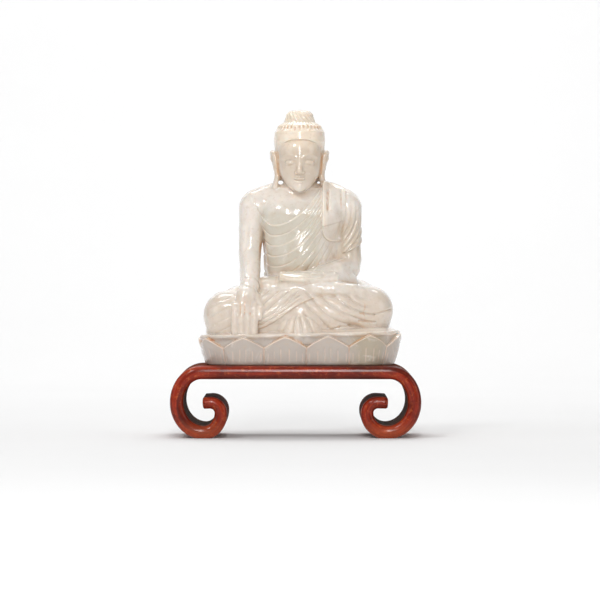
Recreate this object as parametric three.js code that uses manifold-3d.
// A white jade Buddha seated on a lotus throne, carved from one block,
// resting on a hardwood stand with scrolled ends.
// Millimetres, +Z up, the figure faces -Y. Origin: on the table, under the middle of the stand.
import * as THREE from "three";
import { mergeVertices } from "three/addons/utils/BufferGeometryUtils.js";
import Module from "manifold-3d";

const wasm = await Module();
wasm.setup();

// Hardwood stand
const STAND_LENGTH = 189;
const STAND_DEPTH = 97;
const STAND_HEIGHT = 54.6;
const BOARD_THICKNESS = 10.2;
const NOSING = 4.2;
const OUTER_SWEEP_TOP = 18.5;
const OUTER_SWEEP_BOTTOM = 20.5;
const LEFT_CURL_SWEEP = 12.8;
const RIGHT_CURL_SWEEP = 15.2;
const CURL_RISE = 14.5;
const TIP_RADIUS = 8;
const LEFT_TIP_REACH = 5.7;
const RIGHT_TIP_REACH = 7.7;
const TIP_DROP = 0.3;
const TIP_THINNING_RATIO = 0.84;
const FOOT_FLAT = 11;

// Lotus throne: a rounded block with two rows of petals, its top a little lower on the viewer's left
const THRONE_WIDTH = 152;
const THRONE_DEPTH = 92;
const THRONE_HEIGHT = 24.3;
const THRONE_CORNER = 30;
const THRONE_TAPER = 5.4;
const RIM_LIFT = 1.7;
const RIM_ROUNDING = 1.2;
const SEAT_RISE = 2;
const SEAT_INSET = 11;
const PETALS = 14;
const PETAL_COLUMNS = 8;
const PETAL_ROWS = 4;
const PETAL_SHIFT = -10.8;
const PETAL_DRIFT = 1.9;
const PETAL_APEX_RATIO = 0.91;
const PETAL_NOTCH_RATIO = 0.57;
const PETAL_BULGE = 1.5;
const BACK_PETAL_DEPTH = 2.2;
const PETAL_LEDGE = 0.5;
const STATUE_SHIFT = 3.3;

// Seated figure, from the seat to the top of its hair. Its forms are laid out in units:
// it is 167.5 of them high, and its parts keep their shares of that
const FIGURE_HEIGHT = 169.3;
const UNIT = FIGURE_HEIGHT / 167.5;
const HEAD_X = -0.3;

// Fineness of the sculpted solid
const CELL = 1.7;
const FIGURE_TRIANGLES = 5850;
const FIGURE_SINK = 4;

const clamp = (t, low, high) => Math.min(high, Math.max(low, t));
const mix = (a, b, t) => a + (b - a) * t;
const ease = (t) => clamp(t, 0, 1) ** 2 * (3 - 2 * clamp(t, 0, 1));
const step = (edge, width, value) => ease((value - edge) / width + 0.5);
const bump = (value, width) => Math.exp(-((value / width) ** 2));

const length = (x, y, z = 0) => Math.sqrt(x * x + y * y + z * z);

// Rounded union of two solids given as distances
function join(a, b, round) {
  const h = Math.max(round - Math.abs(a - b), 0) / round;
  return Math.min(a, b) - (h * h * round) / 4;
}

// A solid is a function that gives a point's distance outside it. This one is several joined:
// first a solid, then pairs of a rounding and a solid
const joined = (first, ...others) => (x, y, z) => {
  let d = first(x, y, z);
  for (const [round, other] of others) d = join(d, other(x, y, z), round);
  return d;
};

// An ellipsoid, its distance near enough for joining
const ellipsoid = ([cx, cy, cz], [rx, ry, rz]) => (x, y, z) => {
  const [px, py, pz] = [(x - cx) / rx, (y - cy) / ry, (z - cz) / rz];
  const near = length(px, py, pz);
  const slope = length(px / rx, py / ry, pz / rz);
  return slope < 1e-9 ? -Math.min(rx, ry, rz) : (near * (near - 1)) / slope;
};

// A limb along stations of [x, y, z, radius]; where flat is over 1 it is thinner from front to back
function limb(stations, flat = 1, round = 0.8) {
  const bones = stations.slice(1).map(([x, y, z, r], i) => {
    const [ax, ay, az, ar] = stations[i];
    const [ux, uy, uz] = [x - ax, y - ay, z - az];
    return { ax, ay, az, ar, ux, uy, uz, swell: r - ar, square: ux * ux + uy * uy + uz * uz };
  });
  return (x, y, z) => {
    let nearest = 1e6;
    for (const { ax, ay, az, ar, ux, uy, uz, swell, square } of bones) {
      const along = ((x - ax) * ux + (y - ay) * uy + (z - az) * uz) / square;
      const t = clamp(along, 0, 1);
      const away = length(x - ax - ux * t, (y - ay - uy * t) * flat, z - az - uz * t);
      nearest = join(nearest, away - ar - swell * t, round);
    }
    return nearest;
  };
}

// An upright form whose level sections are ellipses: stations are [z, y, halfWidth, halfDepth]
const column = (stations) => (x, y, z) => {
  let i = 1;
  while (i < stations.length - 1 && z > stations[i][0]) i++;
  const [low, high] = [stations[i - 1], stations[i]];
  const t = ease((z - low[0]) / (high[0] - low[0]));
  const [rx, ry] = [mix(low[2], high[2], t), mix(low[3], high[3], t)];
  const [px, py] = [x / rx, (y - mix(low[1], high[1], t)) / ry];
  const near = length(px, py);
  const slope = length(px / rx, py / ry);
  const side = slope < 1e-9 ? -Math.min(rx, ry) : (near * (near - 1)) / slope;
  return Math.max(side, stations[0][0] - z, z - stations[stations.length - 1][0]);
};

// Both sides of the body, from one side's form
const pair = (round, form) => [-1, 1].map((side) => [round, form(side)]);

// How close a point lies to a straight cut, seen from the front: 1 on it, 0 away from it
function stroke(x, z, [[ax, az], [bx, bz]], width) {
  const [ux, uz] = [bx - ax, bz - az];
  const t = clamp(((x - ax) * ux + (z - az) * uz) / (ux * ux + uz * uz), 0, 1);
  return bump(length(x - ax - ux * t, z - az - uz * t), width);
}

// Body under the robe
const bareTorso = joined(
  column([
    [4, 12, 36, 22],
    [22, 11, 31, 23],
    [42, 8, 26, 21],
    [56, 7, 26.4, 20.5],
    [72, 6, 27.4, 20.5],
    [88, 6, 32, 19.5],
    [98, 6, 32, 16],
    [108, 6, 20, 12],
  ]),
  ...pair(7, (side) => ellipsoid([11.5 * side, -4, 88.5], [16.5, 11, 13])),
  ...pair(6, (side) => limb([[0, 7, 101, 12], [31 * side, 7, 96.8, 11.4]])),
  ...pair(6, (side) => limb([[9 * side, 8, 109.5, 6], [26 * side, 8, 104.2, 5]])),
  [6, ellipsoid([0, -1, 58], [19, 16, 19])],
  [4, limb([[HEAD_X, 6, 100, 13], [HEAD_X, 4, 118, 11.4]])],
);

const ARMPIT_CREASE = [[-30.6, 92], [-27.5, 78]];

function torso(x, y, z) {
  return bareTorso(x, y, z) + stroke(x, z, ARMPIT_CREASE, 2.4) * step(2, 8, -y);
}

// Height of the robe's upper edge across the chest, which falls from the covered shoulder to the armpit
const robeEdge = (x) => 80.6 + 0.0235 * (x + 19) ** 2 + 0.06 * Math.max(-20 - x, 0) ** 2;

// Distance outside the outline of the flap that hangs from the covered shoulder
function flapDistance(x, z) {
  const lobe = length(x - 25.6, Math.min(z - 76.8, 0)) - 9;
  return Math.max(Math.abs(x - 25.2) - 9.4, lobe);
}

// The robe behind leaves the right shoulder bare as well
function coveredBack(x, z) {
  return Math.max(1 - step(92 + 0.55 * (x + 14), 1.4, z), step(16, 8, x));
}

const ROBE_PITCH = 7.8;

// Thickness and folds of the robe on the torso, front and back
function robe(x, y, z) {
  const front = step(2, 6, 2 - y);
  const below = z - robeEdge(x);
  const folds = -0.9 * Math.cos((2 * Math.PI * below) / ROBE_PITCH) * step(2.5, 3, -below);
  const cloth = (1 - step(0, 1.6, below)) * (1.4 + folds);
  const over = 1 - step(0, 1.4, flapDistance(x, z));
  const lower = step(0, 1.6, 81.6 + 0.28 * (x - 25) - z);
  const border = 1.2 * bump(x - 17.2, 1.6) * (1 - lower);
  const groove = 2.2 * bump(x - 20.4, 1.2) * step(88, 6, z) * (1 - step(107, 3, z));
  const hanging = over * (2.9 - 0.9 * lower + border - groove);
  const back = coveredBack(x, z) * (0.9 - 0.5 * Math.cos((2 * Math.PI * (z + 0.42 * x)) / 13));
  const reach = 1 - step(107, 5, z) * (1 - step(13, 7, x));
  return reach * mix(back, Math.max(cloth, hanging), front);
}

// Folds that hang down the covered arm and slant in toward its hem, above the elbow
function sleeve(x, y, z) {
  const hem = z - (59.3 + 0.42 * (x - 28)) - 0.25 * (y - 2);
  const phase = (x + 0.35 * y + 0.021 * Math.max(90 - z, 0) ** 2) / 9.2;
  const folds = Math.abs(Math.sin(Math.PI * phase)) * (0.3 + 0.9 * (1 - step(90, 26, z)));
  return step(32, 3, x) * step(0, 1.4, hem) * (0.6 + folds * (0.35 + 0.65 * step(2, 8, 2 - y)));
}

// The arm whose hand lies palm up in the lap, on the viewer's right, with the cloth gathered under it
const restingArm = joined(
  limb([
    [33.6, 6, 93.4, 12.4],
    [35.8, 7, 76, 9.8],
    [37, 4, 55, 9.2],
    [36.4, 1, 48.5, 8.8],
    [27, -12, 45.5, 8],
    [10, -23, 42.6, 6],
  ]),
  [3, limb([[2, -26, 39.2, 6], [24, -23, 39.2, 6.4], [37, -9, 39, 6]])],
);

// The hand in the lap, palm up, its four fingers cut off square
const lapFingers = joined(
  ellipsoid([2, -26, 41.2], [14, 8.8, 5.6]),
  [3, limb([[-5, -25, 37.4, 6.4], [10, -24, 37.6, 7]])],
  ...[0, 1, 2, 3].map((place) => {
    const back = -31.5 + 4.3 * place;
    return [0.8, limb([[2, back, 41.4, 4.4], [-14, back, 42.8, 4]])];
  }),
);
const lapHand = (x, y, z) => Math.max(lapFingers(x, y, z), z - 46.1 - 0.03 * (x + 15), -15.4 - x);

// Crossed legs under the robe, whose cloth falls straight below the knees
const crossedLegs = joined(
  ellipsoid([0, 16, 12], [37, 23, 20]),
  ...[[-1, 54, 13.6], [1, 51.4, 17.2]].flatMap(([side, knee, high]) => [
    [5, limb([[20 * side, 12, 17, 17], [knee * side, -10, high, 17.4]])],
    [5, limb([[knee * side, -12, high - 1, 17], [28 * side, -24, 14.5, 15], [4 * side, -26, 13.5, 14]])],
    [5, ellipsoid([(knee - 3.4) * side, -9, 5], [18, 21, 13])],
  ]),
);

const lapCloth = [
  [3, ellipsoid([32, 1, 26], [28, 18, 15.4])],
  [3, ellipsoid([-44, -3, 23], [15, 15, 12.4])],
  [4, ellipsoid([-21, -9, 34], [15, 17, 9.2])],
  [4, ellipsoid([-4, -14, 31], [18, 17, 8])],
  [6, ellipsoid([0, -10, 20], [42, 22, 14])],
];

function legs(x, y, z) {
  const low = Math.max(z, 6.5 - 7 * step(60, 10, x) - 3 * step(62, 8, -x));
  return lapCloth.reduce((d, [round, form]) => join(d, form(x, y, z), round), crossedLegs(x, y, low));
}

// The robe's hem sweeps from the reaching hand up to the lap
const hemHeight = (x) => 14.3 + 14.3 * Math.tanh((x + 11) / 19);

const KNEE_CUTS = [[[45, 15], [55.3, 13.8]], [[55.3, 13.8], [67.5, 17.7]], [[44, 9.2], [56, 8.2]]];

// Folds over the crossed legs, seen from the front, and the hem between them
function legFolds(x, y, z) {
  const front = step(-8, 8, -y - 12);
  const hem = z - hemHeight(x);
  const spread = 5.4 + 3.8 * (1 - step(33, 26, x));
  const fall = 13.7 + 0.0657 * Math.max(53 - x, 0) ** 1.62;
  const ridge = 1.7 * Math.abs(Math.sin((Math.PI * (fall - z)) / spread)) - 1;
  const overLeft = ridge * step(3, 5, x) * (1 - step(50, 12, x)) * step(3, 3, z);
  const spray = 1.6 * Math.abs(Math.sin((Math.PI * (z - 0.85 * x - 38)) / 6.4)) - 1;
  const overRight = spray * step(6, 3, hem) * step(-28, 4, x) * (1 - step(4, 8, x));
  const edge = 1.7 * step(0, 1.6, hem) * (1 - step(10, 8, x)) * step(-33, 3, x);
  const cuts = 0.9 * KNEE_CUTS.reduce((sum, ends) => sum + stroke(x, z, ends, 1.2), 0);
  return front * ((1 - step(32, 4, z)) * (overLeft + overRight + edge) - cuts);
}

// The upturned foot that rests on the left thigh, its heel sunk into the cloth
const foot = limb([0, 1, 2, 3, 4, 5, 6, 7].map((i) => {
  const turn = Math.PI * (0.04 + (0.92 * i) / 7);
  const [across, out] = [Math.cos(turn), Math.sin(turn)];
  return [21 - 29 * across, -14 - 14 * out, 25 + 7.6 * out ** 0.6, 3.8 + 1.9 * out];
}), 0.95);

// Pleats of the robe that spread from under the hem between the shins
const fanBody = ellipsoid([0.5, -29, 0], [19, 15.5, 17.6]);
function fan(x, y, z) {
  const pleats = Math.abs(Math.cos(Math.atan2(x + 1.5, 24 - z) * 10.5));
  return fanBody(x, y, Math.max(z, 2)) - (1.9 * pleats - 1.1) * step(9, 4, 24 - z);
}

// The arm that reaches down to touch the earth, on the viewer's left, its fingers side by side
const reachingArm = joined(
  limb([
    [-34, 6, 92.8, 12.2],
    [-36.6, 4.6, 78, 9.4],
    [-37.7, 2, 60, 8.3],
    [-37.5, -7.5, 47, 7.7],
    [-37.8, -22.5, 35, 7.2],
  ]),
  [3, limb([[-38, -26, 33.5, 6.8], [-39.8, -35, 27, 7.8], [-41.2, -38, 19.5, 8.6]], 1.3)],
  ...[-1.5, -0.5, 0.5, 1.5].map((place) => {
    const across = -41.2 + 4.75 * place;
    return [0.8, limb([[across, -39.8, 21, 3], [across, -42, 12, 2.9], [across, -42.2, 1, 2.7]])];
  }),
  [1.2, limb([[-41.2, -37.8, 16, 7.4], [-41.2, -38.6, 0, 7]], 1.5)],
  [1.4, limb([[-33.5, -33, 27, 4], [-29.6, -39, 19, 3.2], [-30.2, -41.4, 11.6, 2.3]])],
);

// Face, hair and ears, about the head's own middle line
const skull = joined(
  ellipsoid([0, -3, 127.5], [15.9, 16.6, 21.8]),
  [5, ellipsoid([0, -2.6, 137], [15.6, 16, 13])],
  [6, ellipsoid([0, -10.8, 112], [7, 7, 5.8])],
  [2, limb([[0, -17.4, 131.4, 1.5], [0, -20.3, 122, 2.1]])],
);

const hair = joined(
  column([
    [104, 9, 10, 9],
    [111, 8.5, 12.4, 11],
    [115, 8, 15.6, 13],
    [122, 7, 17.4, 15.5],
    [138, 5.2, 18.9, 18],
    [144.2, 2.6, 19.4, 21.2],
    [150, 2.6, 19, 20.6],
    [154.5, 3, 16.4, 17.6],
    [159, 3, 11, 12],
  ]),
  [1.4, column([[154, 3, 12, 12], [160, 3, 11.1, 11.3], [163.6, 3, 9.8, 10], [166, 3, 7.6, 7.8]])],
  [1.5, ellipsoid([0, 3, 163.6], [9.6, 9.8, 3.9])],
);

const ears = pair(0.8, (side) => {
  const lobe = [[17.2 * side, 0.4, 126, 2.4], [16.6 * side, 0.2, 117, 2.2], [18.2 * side, 1.2, 109, 2.8]];
  return joined(
    limb([[18 * side, 0.5, 127, 2.2], [19.2 * side, 1, 134, 2.9]], 0.6, 2),
    [1.4, limb(lobe, 0.62)],
  );
});

function head(x, y, z) {
  const across = x - HEAD_X;
  const hairline = 144.6 - 0.0011 * Math.abs(across) ** 3.2;
  const opening = 3.4 * step(0, 1.6, hairline - z) * step(0, 4, -3 - y);
  const ring = 0.4 * step(152.6, 2, z) * (1 - step(158, 2, z));
  const covered = join(skull(across, y, z), hair(across, y, z) - ring + opening, 1);
  return ears.reduce((d, [round, ear]) => join(d, ear(across, y, z), round), covered);
}

// The whole figure, in millimetres above the seat, a little sunk into it
function figure(px, py, pz) {
  const at = [px / UNIT, py / UNIT, pz / UNIT];
  const [x, , z] = at;
  let body = torso(...at) - robe(...at);
  body = join(body, restingArm(...at) - sleeve(...at), 2);
  body = join(body, lapHand(...at), 2);
  let lap = legs(...at) - legFolds(...at);
  lap = join(lap, foot(...at), 1.6 + 3.2 * step(38, 12, x));
  lap = join(lap, fan(...at), 0.8);
  body = join(body, lap, 3);
  body = join(body, reachingArm(...at), 1 + 4 * step(90, 16, z));
  body = join(body, head(...at), 1);
  return Math.max(body * UNIT, -FIGURE_SINK - pz);
}

// Fills a grid with the figure's distances, worked out closely only near its surface
function sample(shape, low, high, cell) {
  const size = low.map((v, k) => Math.ceil((high[k] - v) / cell) + 1);
  const values = new Float32Array(size[0] * size[1] * size[2]).fill(cell * 4);
  const block = 4;
  const reach = cell * block * 1.15;
  for (let bz = 0; bz < size[2]; bz += block)
    for (let by = 0; by < size[1]; by += block)
      for (let bx = 0; bx < size[0]; bx += block) {
        const middle = [bx, by, bz].map((b, k) => low[k] + (b + block / 2) * cell);
        const there = shape(...middle);
        for (let z = bz; z < Math.min(bz + block, size[2]); z++)
          for (let y = by; y < Math.min(by + block, size[1]); y++)
            for (let x = bx; x < Math.min(bx + block, size[0]); x++)
              values[x + size[0] * (y + size[1] * z)] =
                Math.abs(there) > reach
                  ? there
                  : shape(low[0] + x * cell, low[1] + y * cell, low[2] + z * cell);
      }
  return { size, values };
}

// Fills the grid's pinched places, where the surface would touch itself at an edge or a corner
function unpinch({ size, values }) {
  const strides = [1, size[0], size[0] * size[1]];
  const squares = [[0, 1], [0, 2], [1, 2]].map(([a, b]) => [strides[a], strides[b]]);
  const last = values.length - strides[0] - strides[1] - strides[2];
  for (let found = true; found; ) {
    found = false;
    for (let i = 0; i < last; i++) {
      const inside = values[i] < 0;
      for (const [a, b] of squares) {
        const crossed = values[i + a + b] < 0 === inside && values[i + a] < 0 !== inside;
        if (!crossed || values[i + b] < 0 === inside) continue;
        for (const j of inside ? [i + a, i + b] : [i, i + a + b]) values[j] = -1e-3;
        found = true;
      }
    }
  }
}

// The surface where a sampled shape's distance is 0: a point in each mixed cell, a quad round each mixed edge
function contour({ size, values }, low, cell) {
  const strides = [1, size[0], size[0] * size[1]];
  const corners = [0, 1, 2, 3, 4, 5, 6, 7].map((c) => [c & 1, (c >> 1) & 1, (c >> 2) & 1]);
  const offsets = corners.map((c) => c[0] * strides[0] + c[1] * strides[1] + c[2] * strides[2]);
  const edges = [0, 1, 2].flatMap((axis) =>
    [0, 1, 2, 3, 4, 5, 6, 7].filter((c) => !corners[c][axis]).map((c) => [c, c + (1 << axis), axis]));
  const points = [];
  const faces = [];
  const known = new Int32Array(values.length).fill(-1);
  for (let z = 0; z < size[2] - 1; z++)
    for (let y = 0; y < size[1] - 1; y++)
      for (let x = 0; x < size[0] - 1; x++) {
        const origin = x + strides[1] * y + strides[2] * z;
        const sum = [0, 0, 0];
        let count = 0;
        for (const [a, b, axis] of edges) {
          const [first, second] = [values[origin + offsets[a]], values[origin + offsets[b]]];
          if (first < 0 === second < 0) continue;
          for (let k = 0; k < 3; k++) sum[k] += corners[a][k];
          sum[axis] += clamp(first / (first - second), 0.08, 0.92);
          count++;
        }
        if (!count) continue;
        known[origin] = points.length;
        points.push([x, y, z].map((v, k) => low[k] + (v + sum[k] / count) * cell));
      }
  for (let i = 0; i < values.length; i++)
    for (let axis = 0; axis < 3; axis++) {
      const [inside, beyond] = [values[i] < 0, values[i + strides[axis]] < 0];
      if (inside === beyond) continue;
      const [u, v] = [strides[(axis + 1) % 3], strides[(axis + 2) % 3]];
      const [a, b, c, d] = [i, i - u, i - u - v, i - v].map((cellIndex) => known[cellIndex]);
      const quad = inside ? [a, b, c, d] : [d, c, b, a];
      faces.push([quad[0], quad[1], quad[2]], [quad[0], quad[2], quad[3]]);
    }
  return { points, faces };
}

// A queue that gives its lightest entry first
class Queue {
  entries = [];
  push(entry) {
    let i = this.entries.push(entry) - 1;
    while (i > 0) {
      const parent = (i - 1) >> 1;
      if (this.entries[parent].weight <= entry.weight) break;
      this.entries[i] = this.entries[parent];
      i = parent;
    }
    this.entries[i] = entry;
  }
  pop() {
    const first = this.entries[0];
    const last = this.entries.pop();
    const count = this.entries.length;
    for (let i = 0, child = 1; count && i < count; child = 2 * i + 1) {
      if (child + 1 < count && this.entries[child + 1].weight < this.entries[child].weight) child++;
      if (child >= count || this.entries[child].weight >= last.weight) {
        this.entries[i] = last;
        break;
      }
      this.entries[i] = this.entries[child];
      i = child;
    }
    return first;
  }
}

const minus = (a, b) => [a[0] - b[0], a[1] - b[1], a[2] - b[2]];
const cross = (a, b) => [
  a[1] * b[2] - a[2] * b[1],
  a[2] * b[0] - a[0] * b[2],
  a[0] * b[1] - a[1] * b[0],
];
const dot = (a, b) => a[0] * b[0] + a[1] * b[1] + a[2] * b[2];

// How far, squared and weighted, a point lies from the planes summed in a quadric
function strain(q, [x, y, z]) {
  const squares = x * x * q[0] + y * y * q[4] + z * z * q[7] + q[9];
  return squares + 2 * (x * y * q[1] + x * z * q[2] + y * z * q[5] + x * q[3] + y * q[6] + z * q[8]);
}

// The point of least strain, or none where the planes don't fix one
function restingPoint(q) {
  const [a, b, c] = [[q[0], q[1], q[2]], [q[1], q[4], q[5]], [q[2], q[5], q[7]]];
  const volume = dot(a, cross(b, c));
  const size = q[0] + q[4] + q[7];
  if (Math.abs(volume) < 1e-4 * size ** 3) return null;
  const right = [-q[3], -q[6], -q[8]];
  const parts = [cross(b, c), cross(c, a), cross(a, b)];
  return [0, 1, 2].map((k) => {
    const sum = right[0] * parts[0][k] + right[1] * parts[1][k] + right[2] * parts[2][k];
    return sum / volume;
  });
}

// Merges the edges whose loss shows least, until about `target` triangles are left
function reduce({ points, faces }, target) {
  const rings = points.map(() => []);
  const quadrics = points.map(() => new Float64Array(10));
  const stamps = new Uint32Array(points.length);
  const gone = new Uint8Array(faces.length);
  const steep = (f, swap, at) => {
    const [a, b, c] = faces[f].map((v) => (v === swap ? at : points[v]));
    return cross(minus(b, a), minus(c, a));
  };
  faces.forEach((face, f) => {
    const normal = steep(f);
    const area = length(...normal);
    const [nx, ny, nz] = normal.map((v) => v / (area || 1));
    const d = -dot([nx, ny, nz], points[face[0]]);
    const plane = [nx * nx, nx * ny, nx * nz, nx * d, ny * ny, ny * nz, ny * d, nz * nz, nz * d, d * d];
    for (const v of face) {
      rings[v].push(f);
      plane.forEach((value, k) => (quadrics[v][k] += value * area));
    }
  });
  const around = (v) => {
    const found = new Set();
    for (const f of rings[v]) for (const w of faces[f]) if (w !== v) found.add(w);
    return found;
  };
  const queue = new Queue();
  const offer = (a, b) => {
    const q = quadrics[a].map((value, k) => value + quadrics[b][k]);
    const middle = points[a].map((v, k) => (v + points[b][k]) / 2);
    const edge = minus(points[a], points[b]);
    const length = dot(edge, edge);
    let at = restingPoint(q);
    if (!at || dot(minus(at, middle), minus(at, middle)) > length) at = middle;
    const weight = Math.max(strain(q, at), 0) + 1e-5 * length * (q[0] + q[4] + q[7]);
    queue.push({ weight, a, b, at, q, stamp: stamps[a] + stamps[b] });
  };
  for (const face of faces)
    face.forEach((a, k) => {
      const b = face[(k + 1) % 3];
      if (a < b) offer(a, b);
    });
  let left = faces.length;
  while (left > target && queue.entries.length) {
    const { a, b, at, q, stamp } = queue.pop();
    if (!rings[a].length || !rings[b].length || stamp !== stamps[a] + stamps[b]) continue;
    const shared = rings[a].filter((f) => faces[f].includes(b));
    const nearA = around(a);
    const common = [...around(b)].filter((v) => nearA.has(v));
    if (shared.length !== 2 || common.length !== 2) continue;
    const folds = (v, other) =>
      rings[v].some((f) => {
        if (faces[f].includes(other)) return false;
        const [before, after] = [steep(f), steep(f, v, at)];
        return dot(before, after) < 0.25 * length(...before) * length(...after);
      });
    if (folds(a, b) || folds(b, a)) continue;
    for (const f of shared) {
      gone[f] = 1;
      for (const v of faces[f]) rings[v] = rings[v].filter((other) => other !== f);
    }
    left -= 2;
    for (const f of rings[b]) faces[f][faces[f].indexOf(b)] = a;
    rings[a] = rings[a].concat(rings[b]);
    rings[b] = [];
    points[a] = at;
    quadrics[a] = q;
    stamps[a] += 1;
    stamps[b] += 1;
    for (const v of around(a)) offer(a, v);
  }
  return { points, faces: faces.filter((_, f) => !gone[f]) };
}

// three.js geometry and manifold-3d solids from each other
function toGeometry({ points, faces }) {
  const geometry = new THREE.BufferGeometry();
  geometry.setAttribute("position", new THREE.Float32BufferAttribute(points.flat(), 3));
  geometry.setIndex(faces.flat());
  return geometry;
}

function toSolid(geometry) {
  const bare = geometry.clone().deleteAttribute("normal").deleteAttribute("uv");
  const merged = mergeVertices(bare, 1e-3);
  const { array } = merged.getAttribute("position");
  const triVerts = new Uint32Array(merged.index.array);
  return new wasm.Manifold(new wasm.Mesh({ numProp: 3, vertProperties: array, triVerts }));
}

function fromSolid(solid) {
  const { vertProperties, triVerts } = solid.getMesh();
  const geometry = new THREE.BufferGeometry();
  geometry.setAttribute("position", new THREE.BufferAttribute(vertProperties, 3));
  geometry.setIndex(new THREE.BufferAttribute(triVerts, 1));
  return geometry;
}

// The throne's outline seen from above, from the front middle round to its right
function throneOutline() {
  const [flatX, flatY] = [THRONE_WIDTH / 2 - THRONE_CORNER, THRONE_DEPTH / 2 - THRONE_CORNER];
  const outline = new THREE.Path().moveTo(0, -THRONE_DEPTH / 2);
  outline.lineTo(flatX, -THRONE_DEPTH / 2);
  const corners = [[flatX, -flatY], [flatX, flatY], [-flatX, flatY], [-flatX, -flatY]];
  corners.forEach(([x, y], i) => {
    outline.absarc(x, y, THRONE_CORNER, ((i - 1) * Math.PI) / 2, (i * Math.PI) / 2, false);
  });
  return outline.lineTo(0, -THRONE_DEPTH / 2);
}

// Heights and outward offsets up one column of the throne's side, from its underside to its rim
function petalColumn(across, top, rise) {
  const contour = top * mix(PETAL_APEX_RATIO, PETAL_NOTCH_RATIO, across ** 1.25);
  const lean = (z) => -THRONE_TAPER * (1 - clamp(z / (top * 0.85), 0, 1)) ** 1.5;
  const swell = PETAL_BULGE * (0.6 - across ** 2);
  const rows = [[0, lean(0) - RIM_ROUNDING]];
  for (let i = 0; i <= PETAL_ROWS; i++) {
    const z = mix(RIM_ROUNDING, contour, i / PETAL_ROWS);
    rows.push([z, lean(z) + swell]);
  }
  const rim = top - RIM_ROUNDING;
  const ledge = Math.min(contour + PETAL_LEDGE, rim - PETAL_LEDGE);
  rows.push([ledge, lean(ledge) - BACK_PETAL_DEPTH]);
  rows.push([rim, -BACK_PETAL_DEPTH * 0.1]);
  rows.push([top, -RIM_ROUNDING - BACK_PETAL_DEPTH * 0.1]);
  rows.push([top + rise, -SEAT_INSET]);
  return rows;
}

// The throne as columns of points side by side, closed above and below
function throne() {
  const outline = throneOutline();
  const columns = PETALS * PETAL_COLUMNS;
  const girth = outline.getLength();
  const points = [];
  const faces = [];
  for (let k = 0; k < columns; k++) {
    const even = k / columns + PETAL_SHIFT / girth - 0.5 / PETALS;
    const share = even + (PETAL_DRIFT * Math.sin(2 * Math.PI * even)) / girth;
    const at = outline.getPoint(share - Math.floor(share));
    const along = outline.getTangent(share - Math.floor(share));
    const across = Math.abs(((k / PETAL_COLUMNS) % 1) - 0.5) * 2;
    const side = at.x / (THRONE_WIDTH / 2);
    const top = THRONE_HEIGHT + RIM_LIFT * side;
    for (const [z, out] of petalColumn(across, top, SEAT_RISE * (1 + 0.6 * side))) {
      points.push([at.x + along.y * out, at.y - along.x * out, z]);
    }
  }
  const rows = points.length / columns;
  const [under, above] = [points.length, points.length + 1];
  points.push([0, 0, 0], [0, 0, THRONE_HEIGHT + SEAT_RISE]);
  for (let k = 0; k < columns; k++) {
    const [here, next] = [k * rows, ((k + 1) % columns) * rows];
    for (let i = 0; i < rows - 1; i++) {
      faces.push([here + i, next + i, next + i + 1], [here + i, next + i + 1, here + i + 1]);
    }
    faces.push([under, next, here], [above, here + rows - 1, next + rows - 1]);
  }
  return { points, faces };
}

// How far the knees and the reaching hand lie from the figure's middle, in its own units
const FIGURE_REACH = [75, 45];

// The carved block: figure and throne in one
function jadeStatue() {
  const margin = 2.5 * CELL;
  const half = [THRONE_WIDTH / 2, THRONE_DEPTH / 2].map(
    (plan, k) => Math.max(plan, FIGURE_REACH[k] * UNIT) + margin,
  );
  const low = [-half[0], -half[1], -FIGURE_SINK - margin];
  const field = sample(figure, low, [half[0], half[1], FIGURE_HEIGHT + margin], CELL);
  unpinch(field);
  const seated = toGeometry(reduce(contour(field, low, CELL), FIGURE_TRIANGLES));
  seated.translate(0, 0, THRONE_HEIGHT);
  const bodies = toSolid(seated).add(toSolid(toGeometry(throne()))).decompose();
  return fromSolid(bodies.reduce((most, body) => (body.volume() > most.volume() ? body : most)));
}

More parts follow.
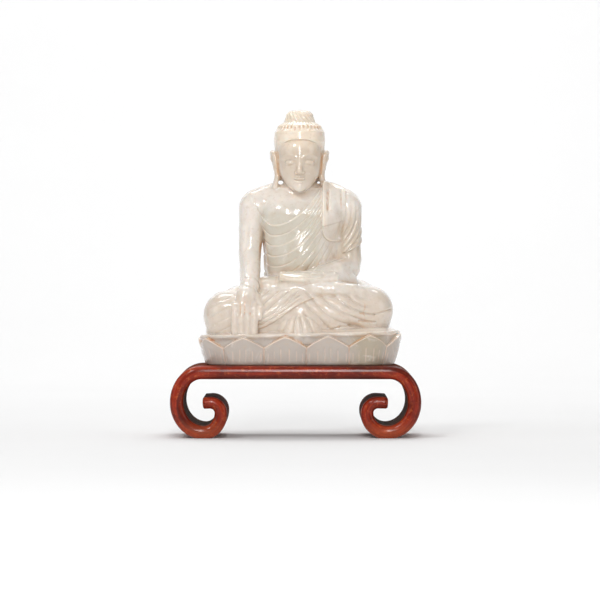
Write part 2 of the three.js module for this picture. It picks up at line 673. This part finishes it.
// The middle line of one scroll, from the middle of the board round to the curled tip
function scrollLine(curlSweep, tipReach) {
  const half = BOARD_THICKNESS / 2;
  const [top, bottom] = [STAND_HEIGHT - half, half - FOOT_FLAT ** 2 / (8 * (curlSweep + half))];
  const outer = STAND_LENGTH / 2 - half;
  const middle = (top + bottom) / 2;
  const bend = [outer - OUTER_SWEEP_TOP, outer - OUTER_SWEEP_BOTTOM];
  const inner = bend[1] - curlSweep;
  const quarter = (cx, cy, rx, ry, start) => {
    const arc = new THREE.EllipseCurve(cx, cy, rx, ry, start, start - Math.PI / 2, true);
    return arc.getPoints(9).slice(1);
  };
  const line = [new THREE.Vector2(0, top), new THREE.Vector2(bend[0], top)];
  line.push(...quarter(bend[0], middle, OUTER_SWEEP_TOP, top - middle, Math.PI / 2));
  line.push(...quarter(bend[1], middle, OUTER_SWEEP_BOTTOM, middle - bottom, 0));
  line.push(...quarter(bend[1], bottom + CURL_RISE, curlSweep, CURL_RISE, -Math.PI / 2));
  line.push(...quarter(inner + TIP_RADIUS, bottom + CURL_RISE, TIP_RADIUS, TIP_RADIUS, Math.PI));
  const last = line.at(-1);
  line.push(new THREE.Vector2(last.x + tipReach, last.y - TIP_DROP));
  return line;
}

// The outline of one scroll seen from the front, from the board's top round the tip to its underside
function scrollOutline(curlSweep, tipReach) {
  const line = scrollLine(curlSweep, tipReach);
  const outside = [];
  const inside = [];
  line.forEach((point, i) => {
    const [before, after] = [line[Math.max(i - 1, 0)], line[Math.min(i + 1, line.length - 1)]];
    const along = after.clone().sub(before).normalize();
    const share = clamp((i - line.length * 0.6) / (line.length * 0.4), 0, 1);
    const reach = (BOARD_THICKNESS / 2) * mix(1, TIP_THINNING_RATIO, share);
    const away = new THREE.Vector2(-along.y, along.x).multiplyScalar(reach);
    const edge = point.clone().add(away);
    edge.y = Math.max(edge.y, 0);
    outside.push(edge);
    inside.push(point.clone().sub(away));
  });
  return [...outside.slice(1), ...inside.slice(1).reverse()];
}

// One piece of board with both ends rolled under, its long edges rounded
function scrollStand() {
  const right = scrollOutline(RIGHT_CURL_SWEEP, RIGHT_TIP_REACH);
  const left = scrollOutline(LEFT_CURL_SWEEP, LEFT_TIP_REACH);
  const mirrored = left.map((p) => new THREE.Vector2(-p.x, p.y)).reverse();
  const shape = new THREE.Shape([...right, ...mirrored]);
  const body = new THREE.ExtrudeGeometry(shape, {
    depth: STAND_DEPTH - 2 * NOSING,
    steps: 1,
    bevelThickness: NOSING,
    bevelSize: NOSING,
    bevelOffset: -NOSING,
    bevelSegments: 2,
  });
  body.translate(0, 0, -(STAND_DEPTH / 2 - NOSING));
  return body.rotateX(Math.PI / 2);
}

const jade = new THREE.MeshStandardMaterial({ color: 0xdcd6ca, roughness: 0.25, metalness: 0 });
const hardwood = new THREE.MeshStandardMaterial({ color: 0x6b2414, roughness: 0.35, metalness: 0 });

const buddha = new THREE.Mesh(jadeStatue(), jade);
buddha.name = "jade_buddha";
buddha.position.set(STATUE_SHIFT, 0, STAND_HEIGHT);

const stand = new THREE.Mesh(scrollStand(), hardwood);
stand.name = "scroll_stand";

const group = new THREE.Group();
group.add(stand, buddha);
export default group;
